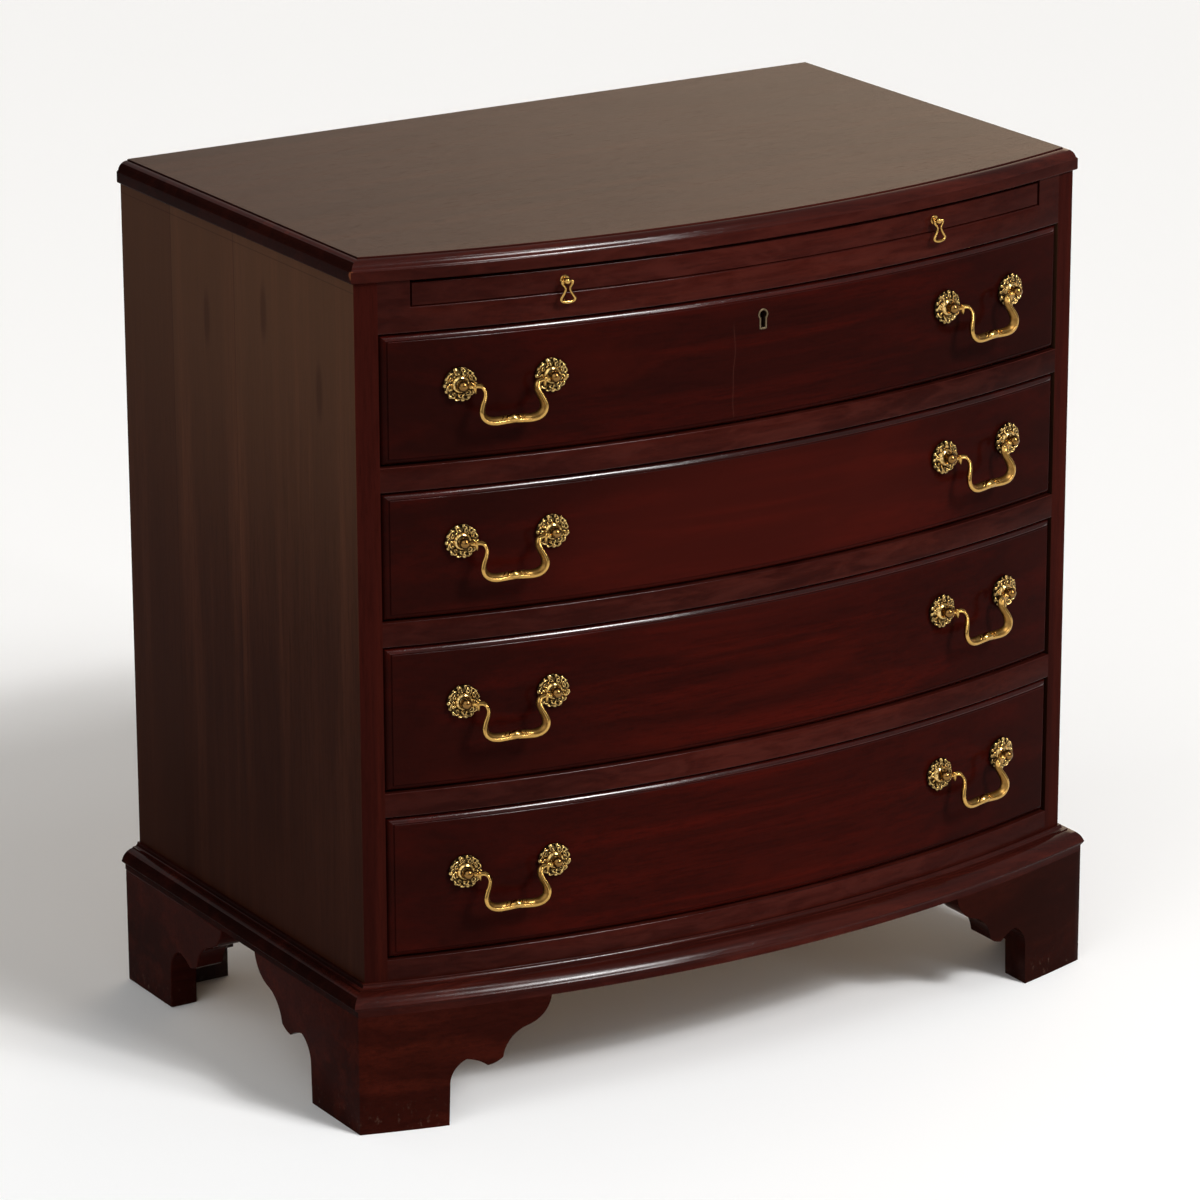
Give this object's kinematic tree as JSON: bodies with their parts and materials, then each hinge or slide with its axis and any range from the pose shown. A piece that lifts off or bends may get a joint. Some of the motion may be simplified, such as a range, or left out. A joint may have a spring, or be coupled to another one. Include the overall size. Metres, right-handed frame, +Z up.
{
  "type": "bachelor chest",
  "caption": "Bow-front chest of drawers on scroll-cut bracket feet, with a pull-out brushing slide under a moulded top and swinging brass bail pulls.",
  "frame": {"origin": "on the floor, below the middle of the box that holds the whole chest", "axes": "+Z up, +X to the right of someone who faces the front, -Y out of the bowed front"},
  "size_m": [0.7638, 0.4856, 0.762],
  "materials": {
    "mahogany": "satin lacquer over a red-brown stain",
    "drawer_mahogany": "polished lacquer over ribbon-figured veneer",
    "pale_wood": "unfinished secondary wood",
    "brass": "polished and aged, dark in the recesses",
    "lock_steel": "plain dull steel"
  },
  "bodies": {
    "case": {"top": "mahogany", "side_left": "mahogany", "side_right": "mahogany", "back_panel": "pale_wood", "slide_rail": "mahogany", "rail_below_drawer_1": "mahogany", "rail_below_drawer_2": "mahogany", "rail_below_drawer_3": "mahogany", "bottom_board": "mahogany", "base_moulding": "mahogany", "foot_front_left": "mahogany", "foot_front_right": "mahogany", "foot_rear_left_side": "mahogany", "foot_rear_right_side": "mahogany", "foot_rear_left_back": "pale_wood", "foot_rear_right_back": "pale_wood"},
    "slide": {"slide_board": "mahogany", "slide_left_post": "brass", "slide_right_post": "brass"},
    "slide_left_loop": {"slide_left_loop": "brass"},
    "slide_right_loop": {"slide_right_loop": "brass"},
    "drawer_1": {"drawer_1_front": "drawer_mahogany", "drawer_1_box": "pale_wood", "drawer_1_bottom": "pale_wood", "drawer_1_left_outer_post": "brass", "drawer_1_left_inner_post": "brass", "drawer_1_right_outer_post": "brass", "drawer_1_right_inner_post": "brass", "escutcheon": "brass", "lock_case": "lock_steel"},
    "drawer_1_left_bail": {"drawer_1_left_bail": "brass"},
    "drawer_1_right_bail": {"drawer_1_right_bail": "brass"},
    "lock_bolt": {"lock_bolt": "lock_steel"},
    "drawer_2": {"drawer_2_front": "drawer_mahogany", "drawer_2_box": "pale_wood", "drawer_2_bottom": "pale_wood", "drawer_2_left_outer_post": "brass", "drawer_2_left_inner_post": "brass", "drawer_2_right_outer_post": "brass", "drawer_2_right_inner_post": "brass"},
    "drawer_2_left_bail": {"drawer_2_left_bail": "brass"},
    "drawer_2_right_bail": {"drawer_2_right_bail": "brass"},
    "drawer_3": {"drawer_3_front": "drawer_mahogany", "drawer_3_box": "pale_wood", "drawer_3_bottom": "pale_wood", "drawer_3_left_outer_post": "brass", "drawer_3_left_inner_post": "brass", "drawer_3_right_outer_post": "brass", "drawer_3_right_inner_post": "brass"},
    "drawer_3_left_bail": {"drawer_3_left_bail": "brass"},
    "drawer_3_right_bail": {"drawer_3_right_bail": "brass"},
    "drawer_4": {"drawer_4_front": "drawer_mahogany", "drawer_4_box": "pale_wood", "drawer_4_bottom": "pale_wood", "drawer_4_left_outer_post": "brass", "drawer_4_left_inner_post": "brass", "drawer_4_right_outer_post": "brass", "drawer_4_right_inner_post": "brass"},
    "drawer_4_left_bail": {"drawer_4_left_bail": "brass"},
    "drawer_4_right_bail": {"drawer_4_right_bail": "brass"}
  },
  "joints": [
    {"name": "slide_run", "type": "slide", "parent": "case", "child": "slide", "axis": [0, -1, 0], "range_m": [0, 0.26]},
    {"name": "slide_left_loop_swing", "type": "hinge", "parent": "slide", "child": "slide_left_loop", "pos_m": [-0.18669, -0.2122, 0.7295], "axis": [-0.988, 0.1544, 0], "range_deg": [-6, 100]},
    {"name": "slide_right_loop_swing", "type": "hinge", "parent": "slide", "child": "slide_right_loop", "pos_m": [0.18669, -0.2122, 0.7295], "axis": [-0.988, -0.1544, 0], "range_deg": [-6, 100]},
    {"name": "drawer_1_run", "type": "slide", "parent": "case", "child": "drawer_1", "axis": [0, -1, 0], "range_m": [0, 0.3]},
    {"name": "drawer_1_left_bail_swing", "type": "hinge", "parent": "drawer_1", "child": "drawer_1_left_bail", "pos_m": [-0.24071, -0.20825, 0.6508], "axis": [-0.9802, 0.1982, 0], "range_deg": [0, 120]},
    {"name": "drawer_1_right_bail_swing", "type": "hinge", "parent": "drawer_1", "child": "drawer_1_right_bail", "pos_m": [0.24071, -0.20825, 0.6508], "axis": [-0.9802, -0.1982, 0], "range_deg": [0, 120]},
    {"name": "lock_bolt_throw", "type": "slide", "parent": "drawer_1", "child": "lock_bolt", "axis": [0, 0, 1], "range_m": [0, 0.006]},
    {"name": "drawer_2_run", "type": "slide", "parent": "case", "child": "drawer_2", "axis": [0, -1, 0], "range_m": [0, 0.3]},
    {"name": "drawer_2_left_bail_swing", "type": "hinge", "parent": "drawer_2", "child": "drawer_2_left_bail", "pos_m": [-0.24071, -0.20825, 0.5157], "axis": [-0.9802, 0.1982, 0], "range_deg": [0, 120]},
    {"name": "drawer_2_right_bail_swing", "type": "hinge", "parent": "drawer_2", "child": "drawer_2_right_bail", "pos_m": [0.24071, -0.20825, 0.5157], "axis": [-0.9802, -0.1982, 0], "range_deg": [0, 120]},
    {"name": "drawer_3_run", "type": "slide", "parent": "case", "child": "drawer_3", "axis": [0, -1, 0], "range_m": [0, 0.3]},
    {"name": "drawer_3_left_bail_swing", "type": "hinge", "parent": "drawer_3", "child": "drawer_3_left_bail", "pos_m": [-0.24071, -0.20825, 0.37505], "axis": [-0.9802, 0.1982, 0], "range_deg": [0, 120]},
    {"name": "drawer_3_right_bail_swing", "type": "hinge", "parent": "drawer_3", "child": "drawer_3_right_bail", "pos_m": [0.24071, -0.20825, 0.37505], "axis": [-0.9802, -0.1982, 0], "range_deg": [0, 120]},
    {"name": "drawer_4_run", "type": "slide", "parent": "case", "child": "drawer_4", "axis": [0, -1, 0], "range_m": [0, 0.3]},
    {"name": "drawer_4_left_bail_swing", "type": "hinge", "parent": "drawer_4", "child": "drawer_4_left_bail", "pos_m": [-0.24071, -0.20825, 0.22325], "axis": [-0.9802, 0.1982, 0], "range_deg": [0, 120]},
    {"name": "drawer_4_right_bail_swing", "type": "hinge", "parent": "drawer_4", "child": "drawer_4_right_bail", "pos_m": [0.24071, -0.20825, 0.22325], "axis": [-0.9802, -0.1982, 0], "range_deg": [0, 120]}
  ]
}
